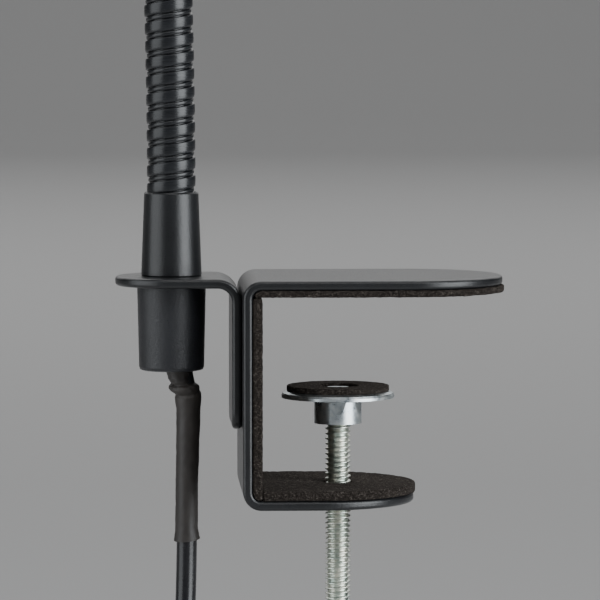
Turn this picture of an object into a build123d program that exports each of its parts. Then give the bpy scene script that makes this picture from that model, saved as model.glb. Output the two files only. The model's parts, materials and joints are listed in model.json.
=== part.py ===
from build123d import *
import math
import os

# A reading lamp that clamps to the edge of a board: a bent steel C frame with felt pads and a
# thumb screw, a gooseneck that stands on an angle bracket beside it, and a bell shade.
# Millimetres. The origin is on the screw's axis, in the plane of the board's upper face, which
# is the underside of the upper jaw pad. +X runs out along the jaws, +Z is up.

# ---- driving dimensions -----------------------------------------------------------------
plate = 2.4  # steel sheet of the frame and of the angle bracket
frame_width = 47.6
frame_outer_x = -24.7
frame_height = 57.1
top_tip_x = 41.5
low_tip_x = 19.1
top_pad_thick = 1.75
pad_thick = 2.5
corner_radius = 4.6
edge_round = 0.9
rivet_radius = 2.0  # hole for the two rivets between the frame and the bracket
rivet_head_radius = 3.6
rivet_clearance = 0.05

neck_x = -41.95  # axis of the gooseneck, sleeve and ferrule
flange_tip_x = -56.1
bracket_width = 30.4
leg_low_z = -33.6
bracket_bend = 6.0
leg_corner_radius = 4.0

screw_radius = 3.15  # 1/4 inch screw, drawn without its thread
screw_hole_radius = 3.2
screw_low_z = -102.0
collar_radius = 6.02
disc_radius = 14.25
foot_pad_radius = 12.95
foot_pad_hole_radius = 5.2
knob_radius = 15.0
knob_top_z = -86.0
knob_height = 18.0
knob_boss_radius = 8.5
knob_boss_height = 4.0
knob_rim_round = 1.2
flute_count = 8
flute_radius = 4.2
insert_radius = 4.97

hose_radius = 6.15
hose_bore_radius = 4.3
lead_radius = 2.2
nipple_radius = 4.95
nipple_bore_radius = 3.4
nipple_low_z = -6.0
slip = 0.03  # clearance between turned pieces that slide together
hose_low_z = 12.3
sleeve_top_z = 25.2
sleeve_wide_radius = 7.62
sleeve_narrow_radius = 6.84
ferrule_top_radius = 8.65
ferrule_low_radius = 8.2
ferrule_bore_radius = 6.7
ferrule_low_z = -19.7
lean = 1.35  # degrees that the neck leans back above its sleeve
lean_length = 40.0
post_length = 188.0
hook_radius = 70.0
neck_joint_spacing = 60.0
first_joint_at = 32.0  # along the neck, from the top of its sleeve
joint_count = 7
joint_gap = 2.2

cord_radius = 2.6
coil_radius = 28.5
coil_half = 8.2  # half the side of the coil's section
coil_centre_z = -152.3
turn_count = 9
tie_width = 12.0
plug_width = 25.0
plug_depth = 14.5
plug_height = 26.0
boot_height = 20.0
blade_spacing = 12.7
blade_width = 6.3
blade_thick = 1.5
blade_length = 17.0

# ---- derived levels ---------------------------------------------------------------------
frame_inner_x = frame_outer_x + plate
frame_top_z = top_pad_thick + plate
frame_low_z = frame_top_z - frame_height
low_plate_top_z = frame_low_z + plate
low_pad_top_z = low_plate_top_z + pad_thick
end_radius = frame_width / 2
top_end_x = top_tip_x - end_radius
low_end_x = low_tip_x - end_radius
leg_outer_x = frame_outer_x - plate
flange_top_z = 4.1
flange_low_z = flange_top_z - plate
rivet_levels = (-10.0, -25.0)


def save(part, label):
    """Labels a finished piece and writes its STEP file."""
    part.label = label
    export_step(part, f"parts/{label}.step")


os.makedirs("parts", exist_ok=True)

# ---- clamp frame: one strip of steel bent into a C ------------------------------------------
with BuildPart() as clamp_frame:
    with BuildSketch(Plane.XZ):
        with BuildLine():
            Polyline(
                (top_tip_x, frame_top_z),
                (frame_outer_x, frame_top_z),
                (frame_outer_x, frame_low_z),
                (low_tip_x, frame_low_z),
                (low_tip_x, low_plate_top_z),
                (frame_inner_x, low_plate_top_z),
                (frame_inner_x, top_pad_thick),
                (top_tip_x, top_pad_thick),
                close=True,
            )
        make_face()
        back_corners = vertices().filter_by_position(Axis.X, frame_outer_x, frame_outer_x)
        fillet(back_corners, corner_radius)
        inner_corners = vertices().filter_by_position(Axis.X, frame_inner_x, frame_inner_x)
        fillet(inner_corners, corner_radius - plate)
    extrude(amount=frame_width / 2, both=True)
    for end_x, low in ((top_end_x, -plate), (low_end_x, frame_low_z - plate)):
        with BuildSketch(Plane.XY.offset(low)):
            with Locations((end_x + end_radius, 0)):
                Rectangle(2 * end_radius, frame_width + 2)
            with Locations((end_x, 0)):
                Circle(end_radius, mode=Mode.SUBTRACT)
        extrude(amount=3 * plate + top_pad_thick, mode=Mode.SUBTRACT)
    with Locations((0, 0, frame_low_z + plate / 2)):
        Hole(screw_hole_radius, depth=plate)
    with Locations(*[Plane((frame_outer_x, 0, z), z_dir=(-1, 0, 0)) for z in rivet_levels]):
        Hole(rivet_radius, depth=plate)
    with Locations(*[Plane((frame_inner_x, 0, z), z_dir=(1, 0, 0)) for z in rivet_levels]):
        CounterSinkHole(rivet_radius, rivet_head_radius, depth=plate)
    rim = [e for e in edges() if e.length > 20 and e.geom_type in (GeomType.LINE, GeomType.CIRCLE)]
    fillet(
        [e for e in rim if abs(abs(e.center().Y) - frame_width / 2) < 0.01],
        edge_round,
    )
save(clamp_frame.part, "clamp_frame")


# ---- felt pads on the inside of the C -------------------------------------------------------
def jaw_pad(tip_x, back_x, low, thickness, hole_radius=0):
    """A flat felt pad with the same round end as the arm that it lines."""
    with BuildPart() as pad:
        with BuildSketch(Plane.XY.offset(low)):
            with Locations((tip_x - end_radius, 0)):
                Circle(end_radius)
            with Locations(((back_x + tip_x - end_radius) / 2, 0)):
                Rectangle(tip_x - end_radius - back_x, frame_width)
            with Locations((back_x - end_radius, 0)):
                Rectangle(2 * end_radius, frame_width + 2, mode=Mode.SUBTRACT)
            if hole_radius:
                Circle(hole_radius, mode=Mode.SUBTRACT)
        extrude(amount=thickness)
    return pad.part


pad_overhang = 0.45
low_pad_hole_radius = 4.6
back_pad_face_x = frame_inner_x + pad_thick
save(jaw_pad(top_tip_x + pad_overhang, back_pad_face_x, 0, top_pad_thick), "top_jaw_pad")
save(
    jaw_pad(
        low_tip_x + pad_overhang, back_pad_face_x, low_plate_top_z, pad_thick, low_pad_hole_radius
    ),
    "lower_jaw_pad",
)

with BuildPart() as back_pad:
    with BuildSketch(Plane.YZ.offset(frame_inner_x)):
        back_low_z = low_pad_top_z
        back_high_z = top_pad_thick - corner_radius + plate
        with Locations((0, (back_low_z + back_high_z) / 2)):
            Rectangle(frame_width, back_high_z - back_low_z)
    extrude(amount=pad_thick)
save(back_pad.part, "back_pad")

# ---- angle bracket that carries the neck ----------------------------------------------------
with BuildPart() as arm_bracket:
    with BuildSketch(Plane.XZ):
        with BuildLine():
            Polyline(
                (flange_tip_x, flange_top_z),
                (frame_outer_x, flange_top_z),
                (frame_outer_x, leg_low_z),
                (leg_outer_x, leg_low_z),
                (leg_outer_x, flange_low_z),
                (flange_tip_x, flange_low_z),
                close=True,
            )
        make_face()
        bend = vertices().filter_by_position(Axis.X, frame_outer_x, frame_outer_x)
        fillet(bend.sort_by(Axis.Y)[-1], bracket_bend)
        inside = vertices().filter_by_position(Axis.X, leg_outer_x, leg_outer_x)
        fillet(inside.sort_by(Axis.Y)[-1], bracket_bend - plate)
    extrude(amount=bracket_width / 2, both=True)
    with BuildSketch(Plane.XY.offset(flange_low_z - 1)):
        flange_centre_x = flange_tip_x + bracket_width / 2
        with Locations((flange_centre_x - bracket_width / 2, 0)):
            Rectangle(bracket_width, bracket_width + 2)
        with Locations((flange_centre_x, 0)):
            Circle(bracket_width / 2, mode=Mode.SUBTRACT)
    extrude(amount=plate + 2, mode=Mode.SUBTRACT)
    lowest = edges().filter_by_position(Axis.Z, leg_low_z - 0.01, leg_low_z + 0.01)
    lower_corners = lowest.filter_by(Axis.X)
    fillet(lower_corners, leg_corner_radius)
    sides = [
        e
        for e in edges()
        if abs(abs(e.center().Y) - bracket_width / 2) < 0.01 and e.length > 3
    ]
    fillet(sides, edge_round)
    with Locations((neck_x, 0, flange_low_z + plate / 2)):
        Hole(nipple_radius + 0.15, depth=plate)
    with Locations(*[Plane((frame_outer_x, 0, z), z_dir=(1, 0, 0)) for z in rivet_levels]):
        Hole(rivet_radius, depth=plate)
    with Locations(*[Plane((leg_outer_x, 0, z), z_dir=(-1, 0, 0)) for z in rivet_levels]):
        CounterSinkHole(rivet_radius, rivet_head_radius, depth=plate)
save(arm_bracket.part, "arm_bracket")

# Two rivets, set flush in countersinks on both faces.
rivet_head_depth = rivet_head_radius - rivet_radius
with BuildPart() as bracket_rivets:
    for z in rivet_levels:
        with BuildSketch(Plane((0, 0, z), x_dir=(1, 0, 0), z_dir=(0, -1, 0))):
            with BuildLine():
                Polyline(
                    (leg_outer_x, 0),
                    (leg_outer_x, rivet_head_radius - rivet_clearance),
                    (leg_outer_x + rivet_head_depth, rivet_radius - rivet_clearance),
                    (frame_inner_x - rivet_head_depth, rivet_radius - rivet_clearance),
                    (frame_inner_x, rivet_head_radius - rivet_clearance),
                    (frame_inner_x, 0),
                    close=True,
                )
            make_face()
        revolve(axis=Axis((0, 0, z), (1, 0, 0)))
save(bracket_rivets.part, "bracket_rivets")


# ---- clamp screw, its swivel foot and its knob ------------------------------------------------
def turned(label, outline, x=0.0):
    """A piece turned on a lathe about the upright axis at x, from its half outline (r, z)."""
    with BuildPart() as piece:
        with BuildSketch(Plane.XZ.shift_origin((x, 0, 0))):
            with BuildLine():
                Polyline(*outline, close=True)
            make_face()
        revolve(axis=Axis((x, 0, 0), (0, 0, 1)))
    if label:
        save(piece.part, label)
    return piece.part


collar_low_z = -33.3
collar_top_z = -27.7
collar_bore_top_z = -30.2
collar_foot_height = 1.2  # the round part below the flats
rivet_hole_radius = 2.5
knob_low_z = knob_top_z - knob_height
turned(
    "clamp_screw",
    [
        (0, collar_bore_top_z - 0.1),
        (screw_radius - 0.7, collar_bore_top_z - 0.1),
        (screw_radius, collar_bore_top_z - 0.8),
        (screw_radius, screw_low_z),
        (0, screw_low_z),
    ],
)

# The collar turns on the screw's tip. Six drafted flats are milled round its upper part.
with BuildPart() as foot_collar:
    with BuildSketch(Plane.XY.offset(collar_low_z)):
        Circle(collar_radius)
    extrude(amount=collar_top_z - collar_low_z)
    with BuildSketch(Plane.XY.offset(collar_low_z + collar_foot_height)):
        Circle(2 * collar_radius)
        RegularPolygon(collar_radius + 0.12, 6, major_radius=False, mode=Mode.SUBTRACT)
    extrude(amount=collar_top_z - collar_low_z, taper=-5, mode=Mode.SUBTRACT)
    with BuildSketch(Plane.XY.offset(collar_low_z)):
        Circle(screw_radius + 0.06)
    extrude(amount=collar_bore_top_z - collar_low_z, mode=Mode.SUBTRACT)
    with BuildSketch(Plane.XY.offset(collar_bore_top_z)):
        Circle(rivet_hole_radius)
    extrude(amount=collar_top_z - collar_bore_top_z, mode=Mode.SUBTRACT)
save(foot_collar.part, "foot_collar")

disc_low_z = -26.2
disc_top_z = -25.2
disc_hole_radius = 3.1
foot_pad_top_z = -23.7
foot_rivet_top_z = -24.3
turned(
    "foot_rivet",
    [
        (0, foot_rivet_top_z),
        (3.2, foot_rivet_top_z),
        (4.0, foot_rivet_top_z - 0.3),
        (4.0, foot_rivet_top_z - 0.6),
        (rivet_hole_radius - 0.05, foot_rivet_top_z - 0.6),
        (rivet_hole_radius - 0.05, collar_bore_top_z + 0.2),
        (0, collar_bore_top_z + 0.2),
    ],
)
turned(
    "foot_disc",
    [
        (disc_hole_radius, disc_top_z),
        (disc_radius - 1.2, disc_top_z),
        (disc_radius - 0.3, disc_top_z - 0.4),
        (disc_radius, disc_top_z - 0.9),
        (disc_radius, disc_low_z - 0.6),
        (disc_radius - 0.9, disc_low_z - 0.6),
        (disc_radius - 1.1, disc_low_z - 0.1),
        (disc_radius - 1.6, disc_low_z),
        (disc_hole_radius, disc_low_z),
    ],
)
turned(
    "foot_pad",
    [
        (foot_pad_hole_radius, disc_top_z),
        (foot_pad_radius, disc_top_z),
        (foot_pad_radius, foot_pad_top_z),
        (foot_pad_hole_radius, foot_pad_top_z),
    ],
)

with BuildPart() as clamp_knob:
    with BuildSketch(Plane.XY.offset(knob_low_z)):
        Circle(knob_radius)
        with PolarLocations(knob_radius + 2.6, flute_count):
            Circle(flute_radius, mode=Mode.SUBTRACT)
    extrude(amount=knob_height - knob_boss_height)
    with BuildSketch(Plane.XY.offset(knob_top_z - knob_boss_height)):
        Circle(knob_boss_radius)
    extrude(amount=knob_boss_height)
    knob_rims = edges().group_by(Axis.Z)[0] + faces().sort_by(Axis.Z)[-2].outer_wire().edges()
    fillet(knob_rims, knob_rim_round)
    with BuildSketch(Plane.XY.offset(screw_low_z)):
        Circle(insert_radius + slip)
    extrude(amount=knob_top_z - screw_low_z, mode=Mode.SUBTRACT)
save(clamp_knob.part, "clamp_knob")
turned(
    "knob_insert",
    [
        (screw_radius, knob_top_z + 0.4),
        (insert_radius, knob_top_z + 0.4),
        (insert_radius, screw_low_z),
        (screw_radius, screw_low_z),
    ],
)

# ---- neck foot: sleeve, nipple, washer, ferrule and cord grip ----------------------------------
turned(
    "neck_sleeve",
    [
        (nipple_radius + slip, flange_top_z),
        (sleeve_wide_radius - 0.3, flange_top_z),
        (sleeve_wide_radius, flange_top_z + 0.3),
        (sleeve_narrow_radius, sleeve_top_z - 0.4),
        (sleeve_narrow_radius - 0.3, sleeve_top_z),
        (hose_radius + slip, sleeve_top_z),
        (hose_radius + slip, hose_low_z),
        (nipple_radius + slip, hose_low_z),
    ],
    neck_x,
)
turned(
    "neck_nipple",
    [
        (nipple_bore_radius, nipple_low_z),
        (nipple_radius, nipple_low_z),
        (nipple_radius, hose_low_z - 0.1),
        (nipple_bore_radius, hose_low_z - 0.1),
    ],
    neck_x,
)
washer_radius = 7.2
washer_thick = 0.8
turned(
    "lock_washer",
    [
        (nipple_radius + 0.2, flange_low_z),
        (washer_radius, flange_low_z),
        (washer_radius, flange_low_z - washer_thick),
        (nipple_radius + 0.2, flange_low_z - washer_thick),
    ],
    neck_x,
)
turned(
    "lower_ferrule",
    [
        (washer_radius + 0.2, flange_low_z),
        (ferrule_top_radius - 0.35, flange_low_z),
        (ferrule_top_radius, flange_low_z - 0.4),
        (ferrule_low_radius, ferrule_low_z + 0.9),
        (ferrule_low_radius - 0.25, ferrule_low_z + 0.25),
        (ferrule_low_radius - 0.85, ferrule_low_z),
        (ferrule_bore_radius, ferrule_low_z),
        (ferrule_bore_radius, nipple_low_z),
        (nipple_radius + slip, nipple_low_z),
        (nipple_radius + slip, flange_low_z - washer_thick - 0.1),
        (washer_radius + 0.2, flange_low_z - washer_thick - 0.1),
    ],
    neck_x,
)

# ---- mains cord ---------------------------------------------------------------------------
# The route is a list of points; each corner gets the largest arc that its two runs allow.
cord_x = neck_x + 3.8
cord_route = [
    (neck_x + 0.6, 0, -6.2),
    (neck_x + 4.2, 0, -31.0),
    (neck_x + 4.0, 0, -78.0),
    (cord_x, -5.0, -102.0),
    (cord_x, -15.6, -122.0),
    (cord_x, -coil_radius * math.sin(math.radians(60)), coil_centre_z + coil_radius / 2),
]
tail_route = [
    (cord_x, -coil_radius - 4.6, coil_centre_z - 6.0),
    (cord_x, -coil_radius - 5.6, coil_centre_z - 22.0),
    (cord_x, -coil_radius - 5.9, coil_centre_z - 40.0),
]


def corner_radii(route):
    """For each corner, 0.45 of its shorter run divided by the tangent of half the turn."""
    points = [Vector(*p) for p in route]
    runs = [b - a for a, b in zip(points, points[1:])]
    radii = []
    for before, after in zip(runs, runs[1:]):
        half_turn = math.radians(before.get_angle(after)) / 2
        radii.append(0.45 * min(before.length, after.length) / math.tan(half_turn))
    return radii


def round_tube(label, route, outer, inner=0.0):
    """A tube swept along the straight runs and tangent arcs of a route."""
    radii = corner_radii(route)
    with BuildPart() as tube:
        with BuildLine() as path:
            FilletPolyline(*route, radius=radii)
        start = path.wires()[0] % 0
        with BuildSketch(Plane(path.wires()[0] @ 0, z_dir=start)):
            Circle(outer)
            if inner:
                Circle(inner, mode=Mode.SUBTRACT)
        sweep(path=path.wires()[0])
    length = path.wires()[0].length
    section = math.pi * (outer**2 - inner**2)
    print(label, "radii", [round(r) for r in radii], "length", round(length, 1))
    print(label, "volume over section times length", round(tube.part.volume / section / length, 4))
    save(tube.part, label)
    return length


run_length = round_tube("cord_run", cord_route, cord_radius)
tail_length = round_tube("cord_tail", tail_route, cord_radius)

# A sleeve of heat-shrink tubing over the top of the cord, slightly wider at its crinkled root.
sleeve_route = [
    (neck_x + 1.85, 0, -14.6),
    (neck_x + 4.2, 0, -31.0),
    (neck_x + 4.07, 0, -62.7),
]
shrink_radius = 3.2
shrink_gap = 0.25
round_tube("strain_sleeve", sleeve_route, shrink_radius, cord_radius + shrink_gap)

coil_corner = 3.5
tie_gap = 0.3
tie_thick = 1.1
with BuildPart() as cord_coil:
    with BuildSketch(Plane.XZ.shift_origin((cord_x, 0, coil_centre_z))):
        with Locations((0, coil_radius)):
            RectangleRounded(2 * coil_half, 2 * coil_half, coil_corner)
    revolve(axis=Axis((cord_x, 0, coil_centre_z), (1, 0, 0)))
save(cord_coil.part, "cord_coil")
coil_length = 2 * math.pi * coil_radius * turn_count
print("cord length", round(run_length + tail_length + coil_length))

# A strap closed round the coil at its top.
with BuildPart() as cord_tie:
    with BuildSketch(Plane.XZ.shift_origin((cord_x, 0, coil_centre_z + coil_radius))):
        tie_bore = 2 * (coil_half + tie_gap)
        tie_side = tie_bore + 2 * tie_thick
        RectangleRounded(tie_side, tie_side, coil_corner + tie_thick)
        RectangleRounded(tie_bore, tie_bore, coil_corner + 0.1, mode=Mode.SUBTRACT)
    extrude(amount=tie_width / 2, both=True)
save(cord_tie.part, "cord_tie")

# Moulded two-pin plug hanging from the coil, its pins down.
plug_x, plug_y = cord_x, tail_route[-1][1]
cord_in_boot = 6.0
boot_top_z = tail_route[-1][2] + cord_in_boot
plug_top_z = boot_top_z - boot_height
plug_low_z = plug_top_z - plug_height
rib_count = 4
rib_pitch = 3.0
with BuildPart() as plug_boot:
    with BuildSketch(Plane.XY.offset(plug_top_z).shift_origin((plug_x, plug_y, plug_top_z))):
        Circle(5.0)
    with BuildSketch(Plane.XY.offset(boot_top_z).shift_origin((plug_x, plug_y, boot_top_z))):
        Circle(3.6)
    loft()
    with Locations((plug_x, plug_y, boot_top_z)):
        Hole(cord_radius + 0.1, depth=cord_in_boot + 0.5)
    for level in range(rib_count):
        z = plug_top_z + rib_pitch * (level + 1)
        with BuildSketch(Plane.XY.offset(z).shift_origin((plug_x, plug_y, z))):
            Rectangle(12, 12)
            Circle(3.3, mode=Mode.SUBTRACT)
        extrude(amount=1.1, mode=Mode.SUBTRACT)
save(plug_boot.part, "plug_boot")
with BuildPart() as plug_body:
    with BuildSketch(Plane.XY.offset(plug_low_z).shift_origin((plug_x, plug_y, plug_low_z))):
        RectangleRounded(plug_depth, plug_width, 5.5)
    extrude(amount=plug_height, taper=5)
    fillet(edges().group_by(Axis.Z)[-1], 2.2)
    fillet(edges().group_by(Axis.Z)[0], 0.8)
save(plug_body.part, "plug_body")
with BuildPart() as plug_blades:
    with BuildSketch(Plane.XY.offset(plug_low_z).shift_origin((plug_x, plug_y, plug_low_z))):
        with GridLocations(0, blade_spacing, 1, 2):
            Rectangle(blade_thick, blade_width)
    extrude(amount=-blade_length)
    tips = edges().filter_by(Axis.X).group_by(Axis.Z)[0]
    chamfer(tips, 1.2)
save(plug_blades.part, "plug_blades")

# Nylon grip that holds the cord inside the ferrule.
grip_low_z = -14.0
grip_height = 7.0
with BuildPart() as cord_grip:
    with BuildSketch(Plane.XY.offset(grip_low_z).shift_origin((neck_x, 0, grip_low_z))):
        Circle(ferrule_bore_radius - 0.2)
    extrude(amount=grip_height)
    grip_hole = Plane(cord_route[0], z_dir=Vector(*cord_route[1]) - Vector(*cord_route[0]))
    with BuildSketch(grip_hole):
        Circle(cord_radius + 0.05)
    extrude(amount=grip_height + 5.0, mode=Mode.SUBTRACT)
save(cord_grip.part, "cord_grip")

# ---- gooseneck -------------------------------------------------------------------------------
# Its centre line runs up the sleeve, leans back through a long arc, goes on straight and then
# bends over through a half turn. Joints divide the hose into stretches; each stretch stops
# short of its joints, so that it can tilt.
lean_radius = lean_length / math.radians(lean)
hook_angle = 180.0 + lean
hook_length = math.radians(hook_angle) * hook_radius
end_length = 14.0
stub_length = sleeve_top_z - hose_low_z
stretches = [
    ("line", stub_length),
    ("arc", lean_length, -lean),
    ("line", post_length),
    ("arc", hook_length, hook_angle),
    ("line", end_length),
]
neck_length = sum(s[1] for s in stretches)
lead_gap = 1.0  # the lead inside the hose is continuous but for a short gap at each joint
lead_end_gap = 0.3


def neck_point(distance):
    """The point of the neck's centre line this far along it, and its lean from upright."""
    x, z, angle = neck_x, hose_low_z, 0.0
    left = distance
    for kind, length, *turn in stretches:
        step = min(left, length)
        heading = math.radians(angle)
        if kind == "line":
            x += step * math.sin(heading)
            z += step * math.cos(heading)
        else:
            swing = math.radians(turn[0]) * step / length
            radius = length / math.radians(turn[0])
            x += radius * (math.cos(heading) - math.cos(heading + swing))
            z += radius * (math.sin(heading + swing) - math.sin(heading))
            angle += math.degrees(swing)
        left -= step
        if left <= 0:
            break
    return x, z, angle


def neck_tube(label, start, end, outer, inner=0.0):
    """The part of a tube along the neck between two distances, made of lines and arcs."""
    with BuildPart() as tube:
        with BuildLine() as path:
            begin = 0.0
            for kind, length, *turn in stretches:
                low, high = max(start, begin), min(end, begin + length)
                begin += length
                if high - low < 0.01:
                    continue
                x, z, angle = neck_point(low)
                heading = (math.sin(math.radians(angle)), 0, math.cos(math.radians(angle)))
                if kind == "line":
                    x2, z2, _ = neck_point(high)
                    Line((x, 0, z), (x2, 0, z2))
                else:
                    middle_x, middle_z, _ = neck_point((low + high) / 2)
                    x2, z2, _ = neck_point(high)
                    ThreePointArc((x, 0, z), (middle_x, 0, middle_z), (x2, 0, z2))
        wire = path.wires()[0]
        first_x, first_z, first_angle = neck_point(start)
        tangent = (math.sin(math.radians(first_angle)), 0, math.cos(math.radians(first_angle)))
        with BuildSketch(Plane((first_x, 0, first_z), x_dir=(0, 1, 0), z_dir=tangent)):
            Circle(outer)
            if inner:
                Circle(inner, mode=Mode.SUBTRACT)
        sweep(path=wire)
    save(tube.part, label)


joint_places = [stub_length + first_joint_at + neck_joint_spacing * i for i in range(joint_count)]
for place in joint_places:
    print("neck joint at", [round(v, 3) for v in neck_point(place)])
neck_end_x, neck_end_z, _ = neck_point(neck_length)
print("neck end at", round(neck_end_x, 3), round(neck_end_z, 3), "length", round(neck_length, 1))
cuts = [0.0, *joint_places, neck_length]
for index, (low, high) in enumerate(zip(cuts, cuts[1:])):
    low_gap = joint_gap if index else 0.0
    high_gap = joint_gap if index < joint_count else 0.0
    neck_tube(f"neck_hose_{index}", low + low_gap, high - high_gap, hose_radius, hose_bore_radius)
    neck_tube(
        f"neck_lead_{index}",
        low + (lead_gap if index else lead_end_gap),
        high - (lead_gap if index < joint_count else lead_end_gap),
        lead_radius,
    )

# ---- head: it hangs straight down from the end of the neck --------------------------------------
# Levels in the head, called drops, are measured down from the end of the hose.
head_x = neck_end_x
head_z = neck_end_z
top_sleeve_rise = 12.0
cap_top = 9.0
nut_thick = 3.2
nut_flats_radius = 7.0
head_nipple_end = 17.0


def head_piece(label, outline):
    """A turned piece of the head, from (radius, distance below the end of the hose)."""
    return turned(label, [(r, head_z - drop) for r, drop in outline], head_x)


head_piece(
    "neck_top_sleeve",
    [
        (hose_radius + slip, -top_sleeve_rise),
        (sleeve_narrow_radius - 0.3, -top_sleeve_rise),
        (sleeve_narrow_radius, -top_sleeve_rise + 0.4),
        (sleeve_wide_radius, cap_top - 0.3),
        (sleeve_wide_radius - 0.3, cap_top),
        (nipple_radius + slip, cap_top),
        (nipple_radius + slip, 0.0),
        (hose_radius + slip, 0.0),
    ],
)
head_piece(
    "head_nipple",
    [
        (nipple_bore_radius, 0.1),
        (nipple_radius, 0.1),
        (nipple_radius, head_nipple_end),
        (nipple_bore_radius, head_nipple_end),
    ],
)
cap_radius = 20.0
cap_wall = 1.0
cap_low = 46.0
shaft_drop = 30.0
shaft_radius = 1.9
slot_drop = 20.0
slot_count = 10
slot_height = 5.0
slot_width = 2.2
with BuildPart() as socket_cap:
    add(
        head_piece(
            "",
            [
                (nipple_radius + 0.1, cap_top),
                (9.0, cap_top),
                (16.0, 10.6),
                (18.9, 12.6),
                (cap_radius, 15.6),
                (cap_radius, cap_low),
                (cap_radius - cap_wall, cap_low),
                (cap_radius - cap_wall, 16.0),
                (18.0, 13.4),
                (15.6, 11.6),
                (9.0, cap_top + cap_wall),
                (nipple_radius + 0.1, cap_top + cap_wall),
            ],
        )
    )
    with Locations(Plane((head_x + cap_radius, 0, head_z - shaft_drop), z_dir=(1, 0, 0))):
        Hole(shaft_radius + 0.7, depth=5 * cap_wall)
    slot_ring = Plane((head_x, 0, head_z - slot_drop), z_dir=(0, 0, 1))
    with BuildSketch(slot_ring):
        with PolarLocations(cap_radius, slot_count, start_angle=180 / slot_count):
            Rectangle(6 * cap_wall, slot_width)
    extrude(amount=-slot_height, mode=Mode.SUBTRACT)
save(socket_cap.part, "socket_cap")
with BuildPart() as head_locknut:
    nut_low_z = head_z - cap_top - cap_wall - nut_thick
    with BuildSketch(Plane.XY.offset(nut_low_z).shift_origin((head_x, 0, nut_low_z))):
        RegularPolygon(nut_flats_radius, 6, major_radius=False)
        Circle(nipple_radius + slip, mode=Mode.SUBTRACT)
    extrude(amount=nut_thick)
save(head_locknut.part, "head_locknut")

# The lamp holder's insulating body, with its thread for the shade ring.
holder_radius = 17.0
holder_top = 19.0
holder_low = 60.0
well_top = 35.0
well_radius = 14.4
with BuildPart() as socket_body:
    add(
        head_piece(
            "",
            [
                (0, holder_top),
                (holder_radius - 2, holder_top),
                (holder_radius, holder_top + 2),
                (holder_radius, holder_low),
                (well_radius, holder_low),
                (well_radius, well_top),
                (0, well_top),
            ],
        )
    )
    with Locations(Plane((head_x + holder_radius, 0, head_z - shaft_drop), z_dir=(1, 0, 0))):
        Hole(shaft_radius + 0.1, depth=10)
save(socket_body.part, "socket_body")
shell_inner, shell_outer = well_radius - 1.0, well_radius - 0.1
shell_top, shell_low = well_top + 2.5, holder_low - 1.5
head_piece(
    "screw_shell",
    [
        (shell_inner, shell_top),
        (shell_outer, shell_top),
        (shell_outer, shell_low),
        (shell_inner, shell_low),
    ],
)
contact_top, contact_low = well_top + 0.1, well_top + 1.4
contact_radius = 3.0
head_piece(
    "centre_contact",
    [(0, contact_top), (contact_radius, contact_top), (contact_radius, contact_low), (0, contact_low)],
)
with BuildPart() as switch_knob:
    knob_face = Plane((head_x, 0, head_z - shaft_drop), z_dir=(1, 0, 0))
    shaft_start, shaft_end = holder_radius - 8, cap_radius + 6
    with BuildSketch(knob_face.offset(shaft_start)):
        Circle(shaft_radius)
    extrude(amount=shaft_end - shaft_start)
    with BuildSketch(knob_face.offset(cap_radius + 3)):
        Circle(3.0)
    extrude(amount=4.0)
    with BuildSketch(knob_face.offset(cap_radius + 7)):
        SlotOverall(13.0, 4.6)
    extrude(amount=9.0, taper=3)
    fillet(faces().sort_by(Axis.X)[-1].edges(), 0.8)
save(switch_knob.part, "switch_knob")

# Spun bell shade: a short collar round the holder, then a flare with a rolled rim.
shade_wall = 0.9
mouth_radius = 50.0
mouth_drop = 132.0
collar_drop = 48.0
shoulder_radius = 22.5
rim_radius = 1.5
ring_radius = 20.5
ring_height = 5.1
with BuildPart() as shade:
    with BuildSketch(Plane.XZ.shift_origin((head_x, 0, head_z))):
        with BuildLine():
            Spline(
                (shoulder_radius, -collar_drop),
                (34.0, -66.0),
                (43.6, -96.0),
                (mouth_radius, -mouth_drop),
                tangents=[(1, -0.35), (0.1, -1)],
            )
            Line((mouth_radius, -mouth_drop), (mouth_radius - shade_wall, -mouth_drop))
            Spline(
                (mouth_radius - shade_wall, -mouth_drop),
                (43.6 - shade_wall, -96.2),
                (34.0 - 0.75, -66.6),
                (shoulder_radius, -collar_drop - shade_wall),
                tangents=[(-0.1, 1), (-1, 0.35)],
            )
            Polyline(
                (shoulder_radius, -collar_drop - shade_wall),
                (holder_radius + 0.15, -collar_drop - shade_wall),
                (holder_radius + 0.15, -collar_drop),
                (shoulder_radius, -collar_drop),
            )
        make_face()
        with Locations((mouth_radius + 0.5, -mouth_drop)):
            Circle(rim_radius)
    revolve(axis=Axis((head_x, 0, head_z), (0, 0, 1)))
save(shade.part, "shade")
head_piece(
    "shade_ring",
    [
        (holder_radius + 0.1, collar_drop + shade_wall),
        (ring_radius, collar_drop + shade_wall),
        (ring_radius, collar_drop + shade_wall + ring_height),
        (holder_radius + 0.1, collar_drop + shade_wall + ring_height),
    ],
)

# Bulb: a hollow round glass on a one-inch screw base.
bulb_top = 36.6
glass_top = bulb_top + 24.0
bulb_length = 86.0
glass_wall = 0.9
cap_outer, cap_inner = 13.0, 12.4
with BuildPart() as bulb_glass:
    for inset, mode in ((0.0, Mode.ADD), (glass_wall, Mode.SUBTRACT)):
        neck_edge = (12.6 - inset, -glass_top - inset)
        crown = (0, -bulb_top - bulb_length + inset)
        with BuildSketch(Plane.XZ.shift_origin((head_x, 0, head_z))):
            with BuildLine():
                Line((0, neck_edge[1]), neck_edge)
                Spline(
                    neck_edge,
                    (14.5 - inset, -bulb_top - 34.0),
                    (23.5 - inset, -bulb_top - 60.0),
                    crown,
                    tangents=[(0.05, -1), (-1, 0)],
                )
                Line(crown, (0, neck_edge[1]))
            make_face()
        revolve(axis=Axis((head_x, 0, head_z), (0, 0, 1)), mode=mode)
save(bulb_glass.part, "bulb_glass")
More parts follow.
